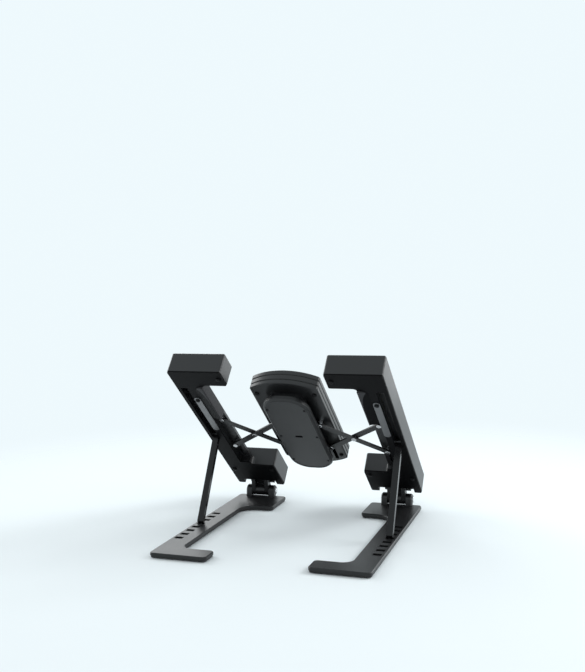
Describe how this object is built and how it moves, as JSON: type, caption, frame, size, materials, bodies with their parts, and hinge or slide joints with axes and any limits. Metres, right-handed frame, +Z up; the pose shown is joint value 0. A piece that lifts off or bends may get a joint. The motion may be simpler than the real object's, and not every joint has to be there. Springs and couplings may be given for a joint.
{
  "type": "laptop stand",
  "caption": "Folding laptop stand with C-shaped arms hinged on C-shaped slotted feet, prop rods, front stops and a cooling fan carried between the arms on crossed links.",
  "frame": {"origin": "on the desk plane, in the middle of the stand's outline seen from above", "axes": "+Z up, +Y towards the rear, high end of the arms, +X to the left seen from behind"},
  "size_m": [0.2544, 0.2941, 0.2197],
  "materials": {
    "shell": "satin moulded",
    "cover": "fine textured",
    "pad": "matte",
    "steel": "zinc plated",
    "pin": "polished",
    "fan": "satin moulded",
    "rotor": "satin moulded",
    "foot": "satin moulded",
    "link": "black coated",
    "screw": "blackened",
    "board": "coated",
    "motor": "black plated"
  },
  "bodies": {
    "fan_unit": {"fan_base": "fan", "fan_frame": "fan", "fan_top": "fan", "fan_screws": "screw", "hull": "shell", "hull_lid": "shell", "lid_screws": "screw", "left_outlet": "cover", "right_outlet": "cover", "motor": "motor", "circuit_board": "board", "inlet_socket": "cover", "left_fan_post": "pin", "right_fan_post": "pin"},
    "impeller": {"impeller": "rotor", "shaft": "pin"},
    "left_link_a": {"left_link_a": "link", "left_cross_rivet": "pin", "left_slide_pin_arm": "pin"},
    "left_link_b": {"left_link_b": "link", "left_slide_pin_fan": "pin"},
    "left_arm": {"left_arm": "shell", "left_arm_cover": "cover", "left_lock_strip": "steel", "left_arm_screws": "screw", "left_arm_pads": "pad", "left_rod_pin": "pin", "left_arm_post": "pin"},
    "left_foot": {"left_foot_plate": "foot", "left_foot_pads": "pad", "left_hinge_bracket": "shell", "left_hinge_screws": "steel", "left_hinge_pin": "pin"},
    "left_rod": {"left_prop_rod": "shell"},
    "left_hook": {"left_front_hook": "shell", "left_hook_pad": "pad"},
    "right_link_a": {"right_link_a": "link", "right_cross_rivet": "pin", "right_slide_pin_arm": "pin"},
    "right_link_b": {"right_link_b": "link", "right_slide_pin_fan": "pin"},
    "right_arm": {"right_arm": "shell", "right_arm_cover": "cover", "right_lock_strip": "steel", "right_arm_screws": "screw", "right_arm_pads": "pad", "right_rod_pin": "pin", "right_arm_post": "pin"},
    "right_foot": {"right_foot_plate": "foot", "right_foot_pads": "pad", "right_hinge_bracket": "shell", "right_hinge_screws": "steel", "right_hinge_pin": "pin"},
    "right_rod": {"right_prop_rod": "shell"},
    "right_hook": {"right_front_hook": "shell", "right_hook_pad": "pad"}
  },
  "joints": [
    {"name": "impeller_spin", "type": "hinge", "parent": "fan_unit", "child": "impeller", "pos_m": [0, 0.02044, 0.14094], "axis": [0, -0.6508, 0.7593], "continuous": true},
    {"name": "left_link_a_turn", "type": "hinge", "parent": "fan_unit", "child": "left_link_a", "pos_m": [0.028, 0.0004, 0.12745], "axis": [0, 0.6508, -0.7593], "range_deg": [0, 37.78]},
    {"name": "left_link_b_turn", "type": "hinge", "parent": "left_link_a", "child": "left_link_b", "pos_m": [0.064, -0.02332, 0.11055], "axis": [0, 0.6508, -0.7593], "range_deg": [-75.55, 0]},
    {"name": "left_spread", "type": "hinge", "parent": "left_link_b", "child": "left_arm", "pos_m": [0.1, -0.0013, 0.12942], "axis": [0, 0.6508, -0.7593], "range_deg": [0, 37.76]},
    {"name": "left_fold", "type": "hinge", "parent": "left_arm", "child": "left_foot", "pos_m": [0.0945, -0.1184, 0.01404], "axis": [1, 0, 0], "range_deg": [0, 40.6]},
    {"name": "left_rod_turn", "type": "hinge", "parent": "left_arm", "child": "left_rod", "pos_m": [0.118, -0.02711, 0.1073], "axis": [1, 0, 0], "range_deg": [0, 101.08]},
    {"name": "left_hook_turn", "type": "hinge", "parent": "left_arm", "child": "left_hook", "pos_m": [0.0945, -0.1184, 0.01404], "axis": [1, 0, 0], "range_deg": [0, 139.4]},
    {"name": "right_link_a_turn", "type": "hinge", "parent": "fan_unit", "child": "right_link_a", "pos_m": [-0.028, 0.0004, 0.12745], "axis": [0, -0.6508, 0.7593], "range_deg": [0, 37.78]},
    {"name": "right_link_b_turn", "type": "hinge", "parent": "right_link_a", "child": "right_link_b", "pos_m": [-0.064, -0.02332, 0.11055], "axis": [0, -0.6508, 0.7593], "range_deg": [-75.55, 0]},
    {"name": "right_spread", "type": "hinge", "parent": "right_link_b", "child": "right_arm", "pos_m": [-0.1, -0.0013, 0.12942], "axis": [0, -0.6508, 0.7593], "range_deg": [0, 37.76]},
    {"name": "right_fold", "type": "hinge", "parent": "right_arm", "child": "right_foot", "pos_m": [-0.0945, -0.1184, 0.01404], "axis": [1, 0, 0], "range_deg": [0, 40.6]},
    {"name": "right_rod_turn", "type": "hinge", "parent": "right_arm", "child": "right_rod", "pos_m": [-0.118, -0.02711, 0.1073], "axis": [1, 0, 0], "range_deg": [0, 101.08]},
    {"name": "right_hook_turn", "type": "hinge", "parent": "right_arm", "child": "right_hook", "pos_m": [-0.0945, -0.1184, 0.01404], "axis": [1, 0, 0], "range_deg": [0, 139.4]}
  ],
  "couplings": [
    {"joint": "left_link_a_turn", "follows": "left_spread", "ratio": 1},
    {"joint": "left_link_b_turn", "follows": "left_spread", "ratio": -2},
    {"joint": "left_rod_turn", "follows": "left_fold", "ratio": 2.4893},
    {"joint": "right_link_a_turn", "follows": "right_spread", "ratio": 1},
    {"joint": "right_link_b_turn", "follows": "right_spread", "ratio": -2},
    {"joint": "right_rod_turn", "follows": "right_fold", "ratio": 2.4893}
  ]
}
